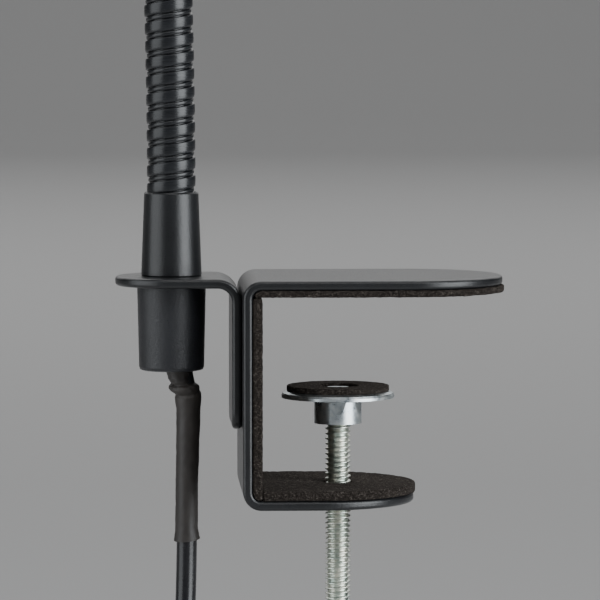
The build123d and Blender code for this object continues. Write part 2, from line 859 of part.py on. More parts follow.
head_piece(
    "bulb_base",
    [
        (0, bulb_top),
        (4.5, bulb_top),
        (7.0, bulb_top + 3.5),
        (cap_outer, bulb_top + 5.0),
        (cap_outer, glass_top - 0.1),
        (cap_inner, glass_top - 0.1),
        (cap_inner, bulb_top + 5.6),
        (6.6, bulb_top + 4.2),
        (4.2, bulb_top + 0.8),
        (0, bulb_top + 0.8),
    ],
)
print("head axis x", round(head_x, 3), "mouth z", round(head_z - mouth_drop, 3))
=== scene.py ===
# %% [markdown]
# # A clamp-on gooseneck lamp
# The lamp's steel, its joints and its sizes come from a fixed frame. This lesson dresses that
# frame: it models the pieces whose look needs mesh work, gives every piece a finish, and sets
# up a plain studio. Everything is in metres, with the origin on the clamp screw's axis at the
# level of the board's upper face.

# %% Load the frame
import json
import math

import bpy
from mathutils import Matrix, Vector, noise


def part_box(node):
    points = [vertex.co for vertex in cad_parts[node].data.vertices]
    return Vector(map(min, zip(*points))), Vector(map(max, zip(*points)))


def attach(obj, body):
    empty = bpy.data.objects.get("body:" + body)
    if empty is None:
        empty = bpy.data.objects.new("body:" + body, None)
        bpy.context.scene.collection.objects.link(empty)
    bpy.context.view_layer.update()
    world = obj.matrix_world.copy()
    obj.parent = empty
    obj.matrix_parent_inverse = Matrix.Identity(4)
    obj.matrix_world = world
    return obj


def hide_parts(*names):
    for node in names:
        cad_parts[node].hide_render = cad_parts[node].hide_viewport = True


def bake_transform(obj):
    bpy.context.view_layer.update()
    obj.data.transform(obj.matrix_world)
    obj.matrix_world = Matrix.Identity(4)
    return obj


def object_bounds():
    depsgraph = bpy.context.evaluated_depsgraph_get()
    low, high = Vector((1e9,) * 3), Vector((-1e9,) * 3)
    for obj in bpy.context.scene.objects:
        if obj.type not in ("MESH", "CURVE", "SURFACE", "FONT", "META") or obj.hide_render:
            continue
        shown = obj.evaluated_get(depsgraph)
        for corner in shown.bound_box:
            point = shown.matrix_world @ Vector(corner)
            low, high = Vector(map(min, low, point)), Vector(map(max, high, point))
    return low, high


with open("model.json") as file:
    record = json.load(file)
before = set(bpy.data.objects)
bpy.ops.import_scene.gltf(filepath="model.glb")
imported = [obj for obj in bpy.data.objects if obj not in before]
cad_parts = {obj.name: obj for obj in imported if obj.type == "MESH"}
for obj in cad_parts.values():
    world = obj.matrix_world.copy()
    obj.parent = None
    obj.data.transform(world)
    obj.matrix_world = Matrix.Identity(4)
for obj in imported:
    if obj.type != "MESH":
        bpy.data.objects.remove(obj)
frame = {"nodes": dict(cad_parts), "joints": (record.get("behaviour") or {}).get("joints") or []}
cad_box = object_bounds()
nodes = frame["nodes"]
MM = 0.001
print("loaded", len(nodes), "nodes")

# %% [markdown]
# ## Camera
# A long lens from a little above and to the left keeps the frame's plates nearly edge-on. The
# camera is turned to look at its target, and its lens isn't shifted.

# %% Camera
camera_place = Vector((-62.8, -1167.7, 82.0)) * MM
camera_yaw = math.radians(2.61)
camera_pitch = math.radians(4.12)
lens_over_sensor = 7.75  # a 279 mm lens on a 36 mm sensor
camera_data = bpy.data.cameras.new("camera")
camera_data.sensor_width = 36.0
camera_data.lens = camera_data.sensor_width * lens_over_sensor
camera_data.clip_end = 50.0
camera = bpy.data.objects.new("camera", camera_data)
bpy.context.scene.collection.objects.link(camera)
bpy.context.scene.camera = camera
camera.location = camera_place
camera.rotation_euler = (math.radians(90) - camera_pitch, 0, -camera_yaw)
print("camera", round(camera_data.lens), "mm lens")

# %% [markdown]
# ## Small helpers
# Operators act on whatever is selected, so each piece starts from an empty selection, and ends
# with its modifiers applied and its place in its mesh.


# %% Helpers
def clear_selection():
    """Leaves edit mode and selects nothing."""
    if bpy.context.object and bpy.context.object.mode != "OBJECT":
        bpy.ops.object.mode_set(mode="OBJECT")
    bpy.ops.object.select_all(action="DESELECT")


def pick(piece):
    """Makes one piece the only selected and active one."""
    clear_selection()
    piece.hide_viewport = False
    piece.select_set(True)
    bpy.context.view_layer.objects.active = piece


def apply_modifiers(piece):
    """Applies all modifiers, first to last."""
    pick(piece)
    for modifier in list(piece.modifiers):
        bpy.ops.object.modifier_apply(modifier=modifier.name)


def settle(piece, smooth_angle=35):
    """Applies modifiers and transforms, so that the piece's place is in its mesh."""
    apply_modifiers(piece)
    bpy.ops.object.transform_apply(location=True, rotation=True, scale=True)
    bpy.ops.object.shade_smooth_by_angle(angle=math.radians(smooth_angle))
    return piece


def copy_of(node, name):
    """A merged copy of a frame node's mesh, as a new piece."""
    piece = bpy.data.objects.new(name, nodes[node].data.copy())
    bpy.context.scene.collection.objects.link(piece)
    piece.data.materials.clear()
    pick(piece)
    bpy.ops.object.mode_set(mode="EDIT")
    bpy.ops.mesh.select_all(action="SELECT")
    bpy.ops.mesh.remove_doubles(threshold=1e-6)
    bpy.ops.object.mode_set(mode="OBJECT")
    return piece


def dress(piece, material, body=None, stands_for=()):
    """Gives a piece its material, its body and the nodes that it stands for."""
    piece.data.materials.clear()
    piece.data.materials.append(material)
    if body:
        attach(piece, body)
    if stands_for:
        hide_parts(*stands_for)
    return piece


def centre_of(node):
    """The middle of a node's box."""
    low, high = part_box(node)
    return (low + high) / 2


# %% [markdown]
# ## Finishes
# Each finish is one small node tree. Object coordinates are in metres, so a scale of 2000
# gives grains about half a millimetre across.


# %% Material helpers
def new_material(name, colour, roughness, metallic=0.0):
    """A material with a Principled shader, and its tree, shader and object coordinates."""
    material = bpy.data.materials.new(name)
    material.use_nodes = True
    tree = material.node_tree
    shader = tree.nodes["Principled BSDF"]
    shader.inputs["Base Color"].default_value = (*colour, 1)
    shader.inputs["Roughness"].default_value = roughness
    shader.inputs["Metallic"].default_value = metallic
    place = tree.nodes.new("ShaderNodeTexCoord").outputs["Object"]
    return material, tree, shader, place


def stretched(tree, place, scale):
    """The coordinates scaled by a vector, for grain that runs one way."""
    mapping = tree.nodes.new("ShaderNodeMapping")
    mapping.inputs["Scale"].default_value = scale
    tree.links.new(place, mapping.inputs["Vector"])
    return mapping.outputs["Vector"]


def grain(tree, place, scale, detail=3.0, rough=0.55, distortion=0.0):
    """A noise value from 0 to 1."""
    node = tree.nodes.new("ShaderNodeTexNoise")
    node.inputs["Scale"].default_value = scale
    node.inputs["Detail"].default_value = detail
    node.inputs["Roughness"].default_value = rough
    node.inputs["Distortion"].default_value = distortion
    tree.links.new(place, node.inputs["Vector"])
    return node.outputs["Fac"]


def spread(tree, value, low, high, start=0.3, end=0.7):
    """Maps a value from start..end to low..high."""
    node = tree.nodes.new("ShaderNodeMapRange")
    node.inputs["From Min"].default_value = start
    node.inputs["From Max"].default_value = end
    node.inputs["To Min"].default_value = low
    node.inputs["To Max"].default_value = high
    tree.links.new(value, node.inputs["Value"])
    return node.outputs["Result"]


def tint(tree, value, stops):
    """A colour ramp over a value, from (position, colour) stops."""
    node = tree.nodes.new("ShaderNodeValToRGB")
    ramp = node.color_ramp
    while len(ramp.elements) < len(stops):
        ramp.elements.new(0.5)
    for element, (position, colour) in zip(ramp.elements, stops):
        element.position = position
        element.color = (*colour, 1)
    tree.links.new(value, node.inputs["Fac"])
    return node.outputs["Color"]


def bump(tree, shader, height, strength, depth, under=None):
    """Adds a bump of that depth in metres, on top of another bump if one is given."""
    node = tree.nodes.new("ShaderNodeBump")
    node.inputs["Strength"].default_value = strength
    node.inputs["Distance"].default_value = depth
    tree.links.new(height, node.inputs["Height"])
    if under:
        tree.links.new(under, node.inputs["Normal"])
    tree.links.new(node.outputs["Normal"], shader.inputs["Normal"])
    return node.outputs["Normal"]


# %% [markdown]
# ### Black coatings
# Powder coat is a baked resin: black, satin, with a faint orange-peel. The lower ferrule has a
# coarser coat whose grains glint where the light grazes. The bent plates are the smooth kind.


# %% Powder coats
def make_coat(name, colour, roughness, peel, grains, speckle):
    material, tree, shader, place = new_material(name, colour, roughness)
    shader.inputs["Specular IOR Level"].default_value = 0.55
    coarse = grain(tree, place, 1400, 2.0)
    fine = grain(tree, place, 5200, 2.0)
    rough = spread(tree, fine, roughness - speckle, roughness + speckle)
    tree.links.new(rough, shader.inputs["Roughness"])
    shade_of = tint(
        tree,
        grain(tree, place, 90, 4.0),
        [(0.3, [c * 0.82 for c in colour]), (0.7, [c * 1.25 for c in colour])],
    )
    tree.links.new(shade_of, shader.inputs["Base Color"])
    first = bump(tree, shader, coarse, peel, 0.00007)
    bump(tree, shader, fine, grains, 0.00006, first)
    return material


powder_coat = make_coat("powder_coat", (0.0085, 0.009, 0.0102), 0.32, 0.45, 0.4, 0.06)
rough_coat = make_coat("rough_coat", (0.0145, 0.0153, 0.018), 0.38, 1.0, 1.0, 0.14)
print("coats made")


# %% [markdown]
# ### Hose, screw and cord finishes
# The hose is lacquered strip, rolled so that fine streaks run along the strip. Its streaks read
# the attribute "wound", which holds the place on the straight hose before it is bent.


# %% Hose lacquer
def make_hose_lacquer():
    material, tree, shader, _ = new_material("hose_lacquer", (0.02, 0.02, 0.022), 0.3)
    wound = tree.nodes.new("ShaderNodeAttribute")
    wound.attribute_name = "wound"
    place = wound.outputs["Vector"]
    streaks = grain(tree, stretched(tree, place, (60, 60, 9000)), 1.0, 4.0, 0.6)
    patches = grain(tree, stretched(tree, place, (250, 250, 500)), 1.0, 2.0)
    tree.links.new(spread(tree, streaks, 0.22, 0.38), shader.inputs["Roughness"])
    colour = tint(tree, patches, [(0.3, (0.007, 0.0077, 0.0093)), (0.7, (0.013, 0.014, 0.0165))])
    tree.links.new(colour, shader.inputs["Base Color"])
    bump(tree, shader, streaks, 0.22, 0.00005)
    return material


hose_lacquer = make_hose_lacquer()
print("hose lacquer made")


# %% [markdown]
# Zinc plate is bright and slightly yellow-green from its passivation, with dull patches.


# %% Zinc plate
def make_zinc(name, stops, low, high, pits):
    material, tree, shader, place = new_material(name, stops[1][1], (low + high) / 2, 1.0)
    cloud = grain(tree, place, 420, 4.0, 0.65, 0.4)
    fine = grain(tree, place, 1900, 2.0)
    tree.links.new(tint(tree, cloud, stops), shader.inputs["Base Color"])
    tree.links.new(spread(tree, cloud, low, high), shader.inputs["Roughness"])
    bump(tree, shader, fine, pits, 0.00002)
    return material


blue_zinc = [(0.3, (0.44, 0.5, 0.54)), (0.5, (0.64, 0.69, 0.71)), (0.7, (0.8, 0.82, 0.8))]
green_zinc = [(0.3, (0.5, 0.58, 0.53)), (0.5, (0.68, 0.71, 0.64)), (0.7, (0.82, 0.8, 0.71))]
zinc_plate = make_zinc("zinc_plate", blue_zinc, 0.24, 0.42, 0.25)
thread_zinc = make_zinc("thread_zinc", green_zinc, 0.27, 0.4, 0.08)


# %% [markdown]
# The cord's sheath is smooth PVC, the sleeve over its top is dull heat-shrink tubing, and the
# plug, knobs and ring are moulded in two blacks.


# %% Plastics
def make_plastic(name, colour, low, high, scale, depth, coat=0.0):
    material, tree, shader, place = new_material(name, colour, (low + high) / 2)
    shader.inputs["Coat Weight"].default_value = coat
    shader.inputs["Coat Roughness"].default_value = 0.08
    fine = grain(tree, place, scale, 3.0)
    broad = grain(tree, place, scale / 12, 3.0)
    tree.links.new(spread(tree, broad, low, high), shader.inputs["Roughness"])
    stops = [(0.3, [c * 0.8 for c in colour]), (0.7, [c * 1.3 for c in colour])]
    tree.links.new(tint(tree, broad, stops), shader.inputs["Base Color"])
    bump(tree, shader, fine, 0.3, depth)
    return material


cord_sheath = make_plastic("cord_sheath", (0.01, 0.01, 0.012), 0.24, 0.32, 900, 0.00002)
shrink_tube = make_plastic("shrink_tube", (0.03, 0.0255, 0.023), 0.44, 0.6, 2400, 0.00005)
moulded_black = make_plastic("moulded_black", (0.015, 0.015, 0.015), 0.38, 0.52, 3200, 0.00004)
plug_black = make_plastic("plug_black", (0.014, 0.014, 0.015), 0.4, 0.5, 2600, 0.00003)
phenolic = make_plastic("phenolic", (0.028, 0.022, 0.018), 0.3, 0.42, 1800, 0.00002)
nylon = make_plastic("nylon", (0.62, 0.6, 0.52), 0.4, 0.5, 1500, 0.00002)
lead_jacket = make_plastic("lead_jacket", (0.4, 0.39, 0.35), 0.4, 0.5, 1500, 0.00002)
strap_rubber = make_plastic("strap_rubber", (0.02, 0.02, 0.02), 0.6, 0.75, 4200, 0.00006)


# %% Metals of the head, and the bulb
def make_metal(name, dark, light, low, high):
    material, tree, shader, place = new_material(name, light, (low + high) / 2, 1.0)
    broad = grain(tree, place, 180, 4.0)
    fine = grain(tree, stretched(tree, place, (300, 300, 6000)), 1.0, 3.0)
    tree.links.new(tint(tree, broad, [(0.3, dark), (0.7, light)]), shader.inputs["Base Color"])
    tree.links.new(spread(tree, fine, low, high), shader.inputs["Roughness"])
    bump(tree, shader, fine, 0.15, 0.00003)
    return material


brass = make_metal("plain_brass", (0.62, 0.42, 0.18), (0.78, 0.58, 0.28), 0.2, 0.36)
bulb_cap_metal = make_metal("bulb_cap_metal", (0.62, 0.62, 0.6), (0.8, 0.8, 0.78), 0.22, 0.36)


def make_opal():
    material, tree, shader, place = new_material("opal_glass", (0.86, 0.85, 0.81), 0.3)
    shader.inputs["Subsurface Weight"].default_value = 0.25
    shader.inputs["Subsurface Scale"].default_value = 0.004
    shader.inputs["Coat Weight"].default_value = 0.5
    cloud = grain(tree, place, 60, 3.0)
    stops = [(0.3, (0.82, 0.81, 0.76)), (0.7, (0.9, 0.89, 0.86))]
    tree.links.new(tint(tree, cloud, stops), shader.inputs["Base Color"])
    tree.links.new(spread(tree, cloud, 0.25, 0.38), shader.inputs["Roughness"])
    return material


opal_glass = make_opal()


# %% [markdown]
# ### Felt
# Pressed felt is a mat of short dark fibres, some of them brown. Thin stretched noise in three
# directions makes the fibres, and sheen gives the soft edge that catches light.


# %% Felt
def make_felt():
    material, tree, shader, place = new_material("pressed_felt", (0.012, 0.01, 0.009), 0.97)
    shader.inputs["Specular IOR Level"].default_value = 0.04
    shader.inputs["Sheen Weight"].default_value = 0.06
    shader.inputs["Sheen Roughness"].default_value = 0.5
    shader.inputs["Sheen Tint"].default_value = (0.6, 0.52, 0.46, 1)
    mat_of = grain(tree, place, 1500, 5.0, 0.7, 0.6)
    fleck = grain(tree, stretched(tree, place, (1700, 1300, 2300)), 1.0, 3.0, 0.6, 1.2)
    stops = [
        (0.3, (0.007, 0.006, 0.0055)),
        (0.5, (0.02, 0.0165, 0.0145)),
        (0.62, (0.055, 0.047, 0.041)),
        (0.74, (0.19, 0.17, 0.15)),
    ]
    tree.links.new(tint(tree, fleck, stops), shader.inputs["Base Color"])
    first = bump(tree, shader, mat_of, 0.9, 0.0005)
    bump(tree, shader, fleck, 0.9, 0.0003, first)
    return material


felt = make_felt()
print("finishes made:", len(bpy.data.materials))

# %% [markdown]
# ## The mains cord
# The cord leaves the ferrule, hangs straight down and goes into a tied coil of nine turns, from
# which the plug hangs. Its centre is one smooth spline through listed points, and the
# coil's turns are worked out by a loop. The nine turns fill a square of three by three places,
# and each turn slips to the next place over part of its way round.

# %% The cord's route
neck_x = -41.95 * MM
cord_radius = 2.6 * MM
coil_radius = 28.5 * MM
coil_centre = Vector((neck_x + 3.8 * MM, 0, -152.3 * MM))
turn_spacing = 5.35 * MM
entry_angle = 60
exit_angle = 90
coil_places = [(1, -1), (0, -1), (-1, -1), (-1, 0), (-1, 1), (0, 1), (0, 0), (1, 0), (1, 1)]
points_per_turn = 18
down_route = [
    (neck_x + 1.2 * MM, 0, -6.2 * MM),
    (neck_x + 2.3 * MM, 0, -19.0 * MM),
    (neck_x + 4.2 * MM, 0, -27.0 * MM),
    (neck_x + 3.95 * MM, 0, -44.0 * MM),
    (neck_x + 3.6 * MM, 0, -78.0 * MM),
    (neck_x + 2.0 * MM, -5.4 * MM, -102.0 * MM),
    (neck_x - 0.8 * MM, -17.4 * MM, -121.0 * MM),
]
tail_route = [
    (coil_centre.x + 3.2 * MM, -34.0 * MM, coil_centre.z - 20.0 * MM),
    (coil_centre.x + 0.6 * MM, -34.3 * MM, coil_centre.z - 34.0 * MM),
    (coil_centre.x, -34.4 * MM, coil_centre.z - 42.0 * MM),
]


def coil_route():
    """The points of the coil's turns, from the entry to the exit."""
    points = []
    last = len(coil_places) - 1
    total = 360 * len(coil_places) + exit_angle - entry_angle
    steps = round(total / 360 * points_per_turn)
    slip_start, slip_length, slip_stagger = 330, 66, 38
    for step in range(steps + 1):
        angle = total * step / steps
        turn = min(int(angle // 360), last)
        begin = slip_start - slip_stagger * turn
        share = min(max((angle - 360 * turn - begin) / slip_length, 0), 1)
        if turn > 0:
            early = begin + slip_stagger - 360
            before = min(max((angle - 360 * turn - early) / slip_length, 0), 1)
        else:
            before = 1
        share = share * share * (3 - 2 * share)
        before = before * before * (3 - 2 * before)
        here = Vector(coil_places[turn])
        came = Vector(coil_places[max(turn - 1, 0)])
        goes = Vector(coil_places[min(turn + 1, last)])
        place = here + (goes - here) * share + (came - here) * (1 - before)
        radius = coil_radius + place.x * turn_spacing
        around = math.radians(entry_angle + angle)
        points.append(
            (
                coil_centre.x + place.y * turn_spacing,
                -radius * math.sin(around),
                coil_centre.z + radius * math.cos(around),
            )
        )
    return points


cord_points = [*down_route, *coil_route(), *tail_route]
print("cord route has", len(cord_points), "points")


# %% The cord's curve
def smooth_curve(name, points, radius):
    """A NURBS curve with these control points, as thick as a cord of that radius."""
    data = bpy.data.curves.new(name, "CURVE")
    data.dimensions = "3D"
    data.resolution_u = 8
    data.bevel_depth = radius
    data.bevel_resolution = 7
    data.use_fill_caps = True
    spline = data.splines.new("NURBS")
    spline.points.add(len(points) - 1)
    for target, point in zip(spline.points, points):
        target.co = (*point, 1)
    spline.order_u = 3
    spline.use_endpoint_u = True
    curve = bpy.data.objects.new(name, data)
    bpy.context.scene.collection.objects.link(curve)
    return curve


mains_cord = smooth_curve("mains_cord", cord_points, cord_radius)
dress(mains_cord, cord_sheath, "clamp", ["cord_run", "cord_coil", "cord_tail"])
print("cord made")

# %% [markdown]
# ## Strain sleeve
# A length of heat-shrink tubing covers the top of the cord. Just below the ferrule it was bent
# before it had cooled, so it is crinkled and steps to the right. A flat grid is rolled into a
# tube: each row gets its left and right edge from a short outline, and folds run round it
# slantwise near the root.

# %% The sleeve's outline: (height, left edge, right edge) from the neck's axis, in millimetres
sleeve_outline = [
    (-15.0, -1.6, 5.0),
    (-20.2, -1.35, 5.2),
    (-21.8, -0.95, 4.9),
    (-22.7, -0.5, 5.5),
    (-23.7, -0.55, 6.6),
    (-24.8, -0.25, 7.3),
    (-26.2, 0.75, 7.5),
    (-30.4, 1.15, 7.25),
    (-40.0, 1.08, 6.92),
    (-50.0, 0.92, 6.6),
    (-60.0, 0.8, 6.6),
    (-61.6, 0.62, 6.85),
    (-62.7, 0.5, 7.05),
]


def outline_at(outline, height):
    """The outline's left and right edge at a height, eased between its rows."""
    for (high, left_a, right_a), (low, left_b, right_b) in zip(outline, outline[1:]):
        if high >= height >= low:
            share = (high - height) / (high - low)
            share = share * share * (3 - 2 * share)
            return left_a + (left_b - left_a) * share, right_a + (right_b - right_a) * share
    return outline[-1][1:] if height < outline[-1][0] else outline[0][1:]


# %% Roll the sleeve
def make_strain_sleeve():
    """The crinkled tube, closed round its wall at the lower end."""
    around, rows = 72, 260
    top, bottom = sleeve_outline[0][0], sleeve_outline[-1][0]
    clear_selection()
    bpy.ops.mesh.primitive_grid_add(x_subdivisions=around, y_subdivisions=rows, size=2)
    sleeve = bpy.context.object
    sleeve.name = "heat_shrink_sleeve"
    for vertex in sleeve.data.vertices:
        turn = (vertex.co.x + 1) * math.pi
        height = bottom + (vertex.co.y + 1) / 2 * (top - bottom)
        left, right = outline_at(sleeve_outline, height)
        across = math.cos(turn)
        deep = math.sin(turn)
        root = math.exp(-(((height + 23.9) / 1.9) ** 2))
        sweep = height - 0.5 * across - 0.75 * deep
        fold = math.exp(-(((sweep + 22.6) / 0.42) ** 2))
        fold += 0.7 * math.exp(-(((sweep + 25.3) / 0.5) ** 2))
        swell = math.exp(-(((sweep + 23.9) / 0.75) ** 2))
        place = Vector((across * 2.2, deep * 2.2, height * 0.55))
        crinkle = 0.3 * swell - 0.5 * fold
        crinkle += 0.06 * noise.noise(place) + 0.25 * root * noise.noise(place * 1.9)
        half = (right - left) / 2 + crinkle
        depth = 3.15 + 0.25 * root + crinkle
        middle = (left + right) / 2
        end = max(0.0, (-56.0 - height) / 6.7)
        slant = end * end * (0.3 * across + 0.35 * deep)
        vertex.co = (
            neck_x + (middle + half * across) * MM,
            depth * deep * MM,
            (height + slant) * MM,
        )
    pick(sleeve)
    bpy.ops.object.mode_set(mode="EDIT")
    bpy.ops.mesh.select_all(action="SELECT")
    bpy.ops.mesh.remove_doubles(threshold=2e-6)
    bpy.ops.mesh.normals_make_consistent(inside=False)
    bpy.ops.object.mode_set(mode="OBJECT")
    wall = sleeve.modifiers.new("wall", "SOLIDIFY")
    wall.thickness = 0.35 * MM
    wall.offset = -1
    return settle(sleeve, 80)


strain_sleeve = make_strain_sleeve()
dress(strain_sleeve, shrink_tube, "clamp", ["strain_sleeve"])
print("sleeve has", len(strain_sleeve.data.polygons), "faces")

# %% [markdown]
# ## Gooseneck
# The hose is one steel strip wound edge over edge. A short outline, one pitch tall, is spun up
# a screw: a raised band with rolled edges, then the sunken groove. The straight hose is cut at
# the middle of each stretch and bent to the neck's centre line. Each length crosses one joint,
# but here it gets only its finish: it is given to no body and is not blended between the bodies
# on both sides. A blend, in either order, can lose precision and open a seam when several joints
# move together.

# %% The neck's centre line
sleeve_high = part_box("neck_sleeve")[1]
hose_low_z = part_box("neck_hose_0")[0].z
neck_lean = 1.35
hook_turn = 180 + neck_lean
neck_stretches = [
    (sleeve_high.z - hose_low_z, 0.0),
    (40.0 * MM, -neck_lean),
    (188.0 * MM, 0.0),
    (math.radians(hook_turn) * 70.0 * MM, hook_turn),
    (14.0 * MM, 0.0),
]
neck_length = sum(length for length, _ in neck_stretches)


def neck_place(distance):
    """The centre line's point this far along it, and its lean from upright in radians."""
    x, z, lean, left = neck_x, hose_low_z, 0.0, distance
    for index, (length, turn) in enumerate(neck_stretches):
        last = index == len(neck_stretches) - 1
        step = left if last else min(left, length)
        swing = math.radians(turn) * step / length
        if swing:
            radius = length / math.radians(turn)
            x += radius * (math.cos(lean) - math.cos(lean + swing))
            z += radius * (math.sin(lean + swing) - math.sin(lean))
            lean += swing
        else:
            x += step * math.sin(lean)
            z += step * math.cos(lean)
        left -= step
        if left <= 0:
            break
    return Vector((x, 0, z)), lean


print("neck is", round(neck_length / MM), "mm long")

# %% The straight hose
hose_radius = 6.12 * MM
hose_pitch = 4.475 * MM
hose_phase = 0.95 * MM
band_outline = [
    (0.00, -0.22),
    (0.07, -0.11),
    (0.25, -0.045),
    (0.70, -0.01),
    (1.40, 0.00),
    (2.10, -0.01),
    (2.55, -0.045),
    (2.78, -0.11),
    (2.88, -0.26),
    (2.90, -1.15),
    (3.13, -1.15),
    (3.19, -0.5),
    (3.32, -0.4),
    (3.70, -0.37),
    (4.06, -0.4),
    (4.18, -0.5),
    (4.24, -1.1),
    (4.43, -1.1),
    (4.455, -0.36),
]


def make_straight_hose():
    """The whole hose before it is bent, standing on z = 0 with one extra pitch at each end."""
    clear_selection()
    data = bpy.data.meshes.new("hose_outline")
    outline = [(hose_radius + drop * MM, 0, height * MM) for height, drop in band_outline]
    outline.append((outline[0][0], 0, hose_pitch))
    edges = [(i, i + 1) for i in range(len(outline) - 1)]
    base = hose_phase - 2 * hose_pitch
    data.from_pydata([(x, y, z + base) for x, y, z in outline], edges, [])
    hose = bpy.data.objects.new("straight_hose", data)
    bpy.context.scene.collection.objects.link(hose)
    winding = hose.modifiers.new("winding", "SCREW")
    winding.axis = "Z"
    winding.angle = math.radians(360)
    winding.screw_offset = hose_pitch
    winding.steps = 48
    winding.render_steps = 48
    winding.iterations = math.ceil(neck_length / hose_pitch) + 4
    winding.use_merge_vertices = True
    winding.merge_threshold = 1e-6
    apply_modifiers(hose)
    bpy.ops.object.mode_set(mode="EDIT")
    bpy.ops.mesh.select_all(action="SELECT")
    bpy.ops.mesh.remove_doubles(threshold=2e-6)
    bpy.ops.mesh.normals_make_consistent(inside=False)
    bpy.ops.object.mode_set(mode="OBJECT")
    return hose


straight_hose = make_straight_hose()
print("straight hose has", len(straight_hose.data.polygons), "faces")


# %% Cut and bend the hose
def cut_hose(low, high, name):
    """The part of the straight hose between two distances, closed by a flat face at each end."""
    piece = straight_hose.copy()
    piece.data = straight_hose.data.copy()
    piece.name = name
    bpy.context.scene.collection.objects.link(piece)
    pick(piece)
    bpy.ops.object.mode_set(mode="EDIT")
    for distance, upper in ((low, False), (high, True)):
        bpy.ops.mesh.select_all(action="SELECT")
        bpy.ops.mesh.bisect(
            plane_co=(0, 0, distance),
            plane_no=(0, 0, 1),
            use_fill=True,
            clear_inner=not upper,
            clear_outer=upper,
        )
    bpy.ops.mesh.select_all(action="SELECT")
    bpy.ops.mesh.normals_make_consistent(inside=False)
    bpy.ops.object.mode_set(mode="OBJECT")
    return piece


def bend_hose(piece):
    """Notes each vertex's place on the straight hose, then moves it onto the centre line."""
    wound = piece.data.attributes.new("wound", "FLOAT_VECTOR", "POINT")
    for index, vertex in enumerate(piece.data.vertices):
        x, y, along = vertex.co
        wound.data[index].vector = (x, y, along)
        centre, lean = neck_place(along)
        vertex.co = centre + Vector((x * math.cos(lean), y, -x * math.sin(lean)))
    pick(piece)
    bpy.ops.object.shade_smooth_by_angle(angle=math.radians(38))


neck_joints = [j for j in frame["joints"] if j["name"].startswith("neck_")]


def distance_to(point):
    """How far along the centre line a joint's point lies."""
    steps = [neck_length * i / 4000 for i in range(4001)]
    return min(steps, key=lambda s: (neck_place(s)[0] - point).length)


joint_distances = [distance_to(Vector(j["pos_m"])) for j in neck_joints]
middles = [(a + b) / 2 for a, b in zip(joint_distances, joint_distances[1:])]
hose_cuts = [0.0, *middles, neck_length]
bend_reach = 26 * MM
for index, joint in enumerate(neck_joints):
    length = cut_hose(hose_cuts[index], hose_cuts[index + 1], f"gooseneck_{index + 1}")
    bend_hose(length)
    dress(length, hose_lacquer)
    start = neck_place(joint_distances[index] - bend_reach)[0]
    end = neck_place(joint_distances[index] + bend_reach)[0]
    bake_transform(length)
    stood_for = [f"neck_hose_{index}"] + (["neck_hose_7"] if index == 6 else [])
    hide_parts(*stood_for)
bpy.data.objects.remove(straight_hose)
print("gooseneck made in", len(neck_joints), "lengths")

# %% [markdown]
# ## Clamp screw
# The screw has twenty threads to the inch. One thread's outline is spun up the shank in the
# same way as the hose, and the ends are cut square.

# %% Threaded screw
screw_low, screw_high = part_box("clamp_screw")
thread_pitch = 1.27 * MM
thread_major = 3.24 * MM
thread_minor = 2.55 * MM
thread_profile = [
    (thread_minor, 0.0),
    (thread_minor + 0.06 * MM, 0.13 * MM),
    (thread_major - 0.08 * MM, 0.46 * MM),
    (thread_major - 0.015 * MM, 0.53 * MM),
    (thread_major, 0.61 * MM),
    (thread_major, 0.67 * MM),
    (thread_major - 0.015 * MM, 0.75 * MM),
    (thread_major - 0.08 * MM, 0.82 * MM),
    (thread_minor + 0.06 * MM, 1.14 * MM),
    (thread_minor, 1.27 * MM),
]


def make_screw():
    """The threaded shank, with a plain tip that turns in the collar."""
    clear_selection()
    data = bpy.data.meshes.new("thread_outline")
    thread_top = screw_high.z - 3.2 * MM
    turns = math.ceil((thread_top - screw_low.z) / thread_pitch) + 2
    base = screw_low.z - thread_pitch
    outline = [(r, 0, base + z) for r, z in thread_profile]
    data.from_pydata(outline, [(i, i + 1) for i in range(len(outline) - 1)], [])
    screw = bpy.data.objects.new("threaded_screw", data)
    bpy.context.scene.collection.objects.link(screw)
    winding = screw.modifiers.new("winding", "SCREW")
    winding.axis = "Z"
    winding.angle = math.radians(360)
    winding.screw_offset = thread_pitch
    winding.steps = 56
    winding.render_steps = 56
    winding.iterations = turns
    winding.use_merge_vertices = True
    winding.merge_threshold = 1e-6
    apply_modifiers(screw)
    bpy.ops.object.mode_set(mode="EDIT")
    bpy.ops.mesh.select_all(action="SELECT")
    bpy.ops.mesh.remove_doubles(threshold=2e-6)
    for height, upper in ((screw_low.z, False), (thread_top, True)):
        bpy.ops.mesh.select_all(action="SELECT")
        bpy.ops.mesh.bisect(
            plane_co=(0, 0, height),
            plane_no=(0, 0, 1),
            use_fill=True,
            clear_inner=not upper,
            clear_outer=upper,
        )
    bpy.ops.mesh.select_all(action="SELECT")
    bpy.ops.mesh.normals_make_consistent(inside=False)
    bpy.ops.object.mode_set(mode="OBJECT")
    tip_length = screw_high.z - thread_top + 0.4 * MM
    bpy.ops.mesh.primitive_cylinder_add(
        vertices=64,
        radius=thread_major - 0.35 * MM,
        depth=tip_length,
        location=(0, 0, screw_high.z - tip_length / 2),
    )
    tip = bpy.context.object
    edge = tip.modifiers.new("edge", "BEVEL")
    edge.width = 0.3 * MM
    edge.segments = 3
    edge.limit_method = "ANGLE"
    settle(tip)
    screw.select_set(True)
    bpy.context.view_layer.objects.active = screw
    bpy.ops.object.join()
    return settle(screw, 30)


threaded_screw = make_screw()
dress(threaded_screw, thread_zinc, "screw", ["clamp_screw"])
print("screw has", len(threaded_screw.data.polygons), "faces")

# %% [markdown]
# ## Felt pads
# Each pad is a copy of its plain solid, remeshed into small even faces and roughened, so that
# its faces are slightly lumpy and its cut edges are soft.

